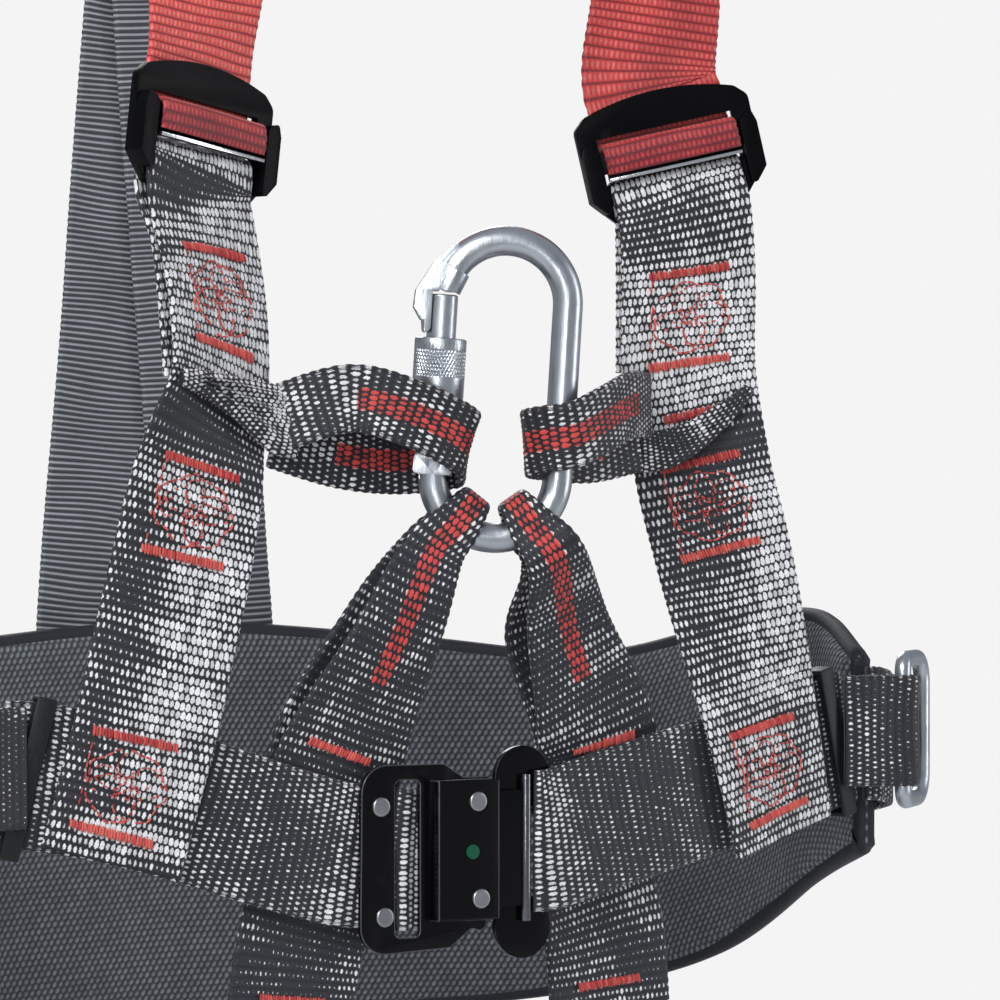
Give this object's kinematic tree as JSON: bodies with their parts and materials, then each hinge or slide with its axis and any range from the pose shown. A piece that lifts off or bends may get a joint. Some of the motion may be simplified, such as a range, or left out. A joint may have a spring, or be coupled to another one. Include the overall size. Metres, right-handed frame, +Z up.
{
  "type": "safety harness",
  "caption": "Full-body work harness: webbing straps with a padded positioning belt, quick-release buckle, attachment rings and a screw-gate connector.",
  "frame": {"origin": "centre of the wearer's waist, at the belt's height at its sides", "axes": "+Z up, -Y out of the wearer's front, +X to the viewer's right seen from the front"},
  "size_m": [0.3922, 0.2787, 0.7177],
  "materials": {
    "red_webbing": "ribbed polyester webbing",
    "grey_webbing": "charcoal webbing with pale grains",
    "dark_webbing": "ribbed polyester webbing",
    "pad_mesh": "spacer mesh over foam",
    "binding_tape": "woven tape",
    "black_steel": "satin black coat",
    "bar_steel": "polished edge",
    "black_plastic": "moulded",
    "zinc_steel": "bright zinc plate",
    "green_plastic": "gloss"
  },
  "bodies": {
    "harness": {"adjuster_frame_left": "black_steel", "adjuster_frame_right": "black_steel", "back_pad": "pad_mesh", "back_strap_left": "dark_webbing", "back_strap_right": "dark_webbing", "belt_front_left": "grey_webbing", "belt_front_right": "grey_webbing", "belt_keeper_left": "black_plastic", "belt_keeper_right": "black_plastic", "belt_rear": "grey_webbing", "buckle_cover": "black_steel", "buckle_frame": "black_steel", "buckle_rivets": "zinc_steel", "buckle_tongue": "black_steel", "chest_loop_left": "grey_webbing", "chest_loop_right": "grey_webbing", "chest_strap_left": "grey_webbing", "chest_strap_right": "grey_webbing", "dorsal_plate": "black_plastic", "leg_adjuster_frame_left": "black_steel", "leg_adjuster_frame_right": "black_steel", "leg_strap_left": "grey_webbing", "leg_strap_right": "grey_webbing", "lock_indicator": "green_plastic", "pad_binding": "binding_tape", "rear_riser_left": "grey_webbing", "rear_riser_right": "grey_webbing", "release_spring_lower": "zinc_steel", "release_spring_upper": "zinc_steel", "ring_tab_left": "grey_webbing", "ring_tab_right": "grey_webbing", "shoulder_strap_left": "red_webbing", "shoulder_strap_right": "red_webbing", "thigh_pad_left": "pad_mesh", "thigh_pad_right": "pad_mesh", "thigh_strap_left": "grey_webbing", "thigh_strap_right": "grey_webbing", "ventral_loop_left": "grey_webbing", "ventral_loop_right": "grey_webbing"},
    "connector": {"connector_body": "zinc_steel", "gate_pin": "zinc_steel"},
    "gate": {"gate": "zinc_steel", "gate_spring": "zinc_steel"},
    "sleeve": {"screw_sleeve": "zinc_steel"},
    "dorsal_ring": {"dorsal_ring": "zinc_steel"},
    "side_ring_right": {"side_ring_right": "zinc_steel"},
    "side_ring_left": {"side_ring_left": "zinc_steel"},
    "adjuster_bar_right": {"adjuster_bar_right": "bar_steel", "strap_roll_right": "red_webbing"},
    "adjuster_bar_left": {"adjuster_bar_left": "bar_steel", "strap_roll_left": "red_webbing"},
    "leg_adjuster_bar_right": {"leg_adjuster_bar_right": "bar_steel"},
    "leg_adjuster_bar_left": {"leg_adjuster_bar_left": "bar_steel"},
    "release_lever_upper": {"release_lever_upper": "black_steel"},
    "release_lever_lower": {"release_lever_lower": "black_steel"}
  },
  "joints": [
    {"name": "connector_slide", "type": "slide", "parent": "harness", "child": "connector", "axis": [-0.0553, 0.0258, -0.9981], "range_m": [0, 0.0014]},
    {"name": "gate_hinge", "type": "hinge", "parent": "connector", "child": "gate", "pos_m": [-0.0123, -0.11633, 0.09511], "axis": [0.4226, 0.9063, 0], "range_deg": [0, 14], "stiffness_Nm_per_rad": 0.35, "springref_deg": -20.05},
    {"name": "sleeve_slide", "type": "slide", "parent": "gate", "child": "sleeve", "axis": [0.0553, -0.0258, 0.9981], "range_m": [0, 0.005]},
    {"name": "dorsal_ring_hinge", "type": "hinge", "parent": "harness", "child": "dorsal_ring", "pos_m": [0, 0.1245, 0.32], "axis": [1, 0, 0], "range_deg": [0, 150]},
    {"name": "side_ring_right_hinge", "type": "hinge", "parent": "harness", "child": "side_ring_right", "pos_m": [0.1725, -0.112, 0.006], "axis": [0, 0, 1], "range_deg": [-95, 4]},
    {"name": "side_ring_left_hinge", "type": "hinge", "parent": "harness", "child": "side_ring_left", "pos_m": [-0.1725, -0.112, 0.002], "axis": [0, 0, -1], "range_deg": [-95, 4]},
    {"name": "adjuster_bar_right_slide", "type": "slide", "parent": "harness", "child": "adjuster_bar_right", "axis": [0.2114, -0.0769, -0.9744], "range_m": [0, 0.0015]},
    {"name": "adjuster_bar_left_slide", "type": "slide", "parent": "harness", "child": "adjuster_bar_left", "axis": [-0.132, -0.0442, -0.9903], "range_m": [0, 0.0015]},
    {"name": "leg_adjuster_bar_right_slide", "type": "slide", "parent": "harness", "child": "leg_adjuster_bar_right", "axis": [-0.4695, -0.8829, 0], "range_m": [0, 0.0015]},
    {"name": "leg_adjuster_bar_left_slide", "type": "slide", "parent": "harness", "child": "leg_adjuster_bar_left", "axis": [0.4695, -0.8829, 0], "range_m": [0, 0.0015]},
    {"name": "release_lever_upper_slide", "type": "slide", "parent": "harness", "child": "release_lever_upper", "axis": [0, 0, -1], "range_m": [0, 0.003], "stiffness_N_per_m": 1500, "springref_m": -0.003, "deforming": ["release_spring_upper"]},
    {"name": "release_lever_lower_slide", "type": "slide", "parent": "harness", "child": "release_lever_lower", "axis": [0, 0, 1], "range_m": [0, 0.003], "stiffness_N_per_m": 1500, "springref_m": -0.003, "deforming": ["release_spring_lower"]}
  ]
}
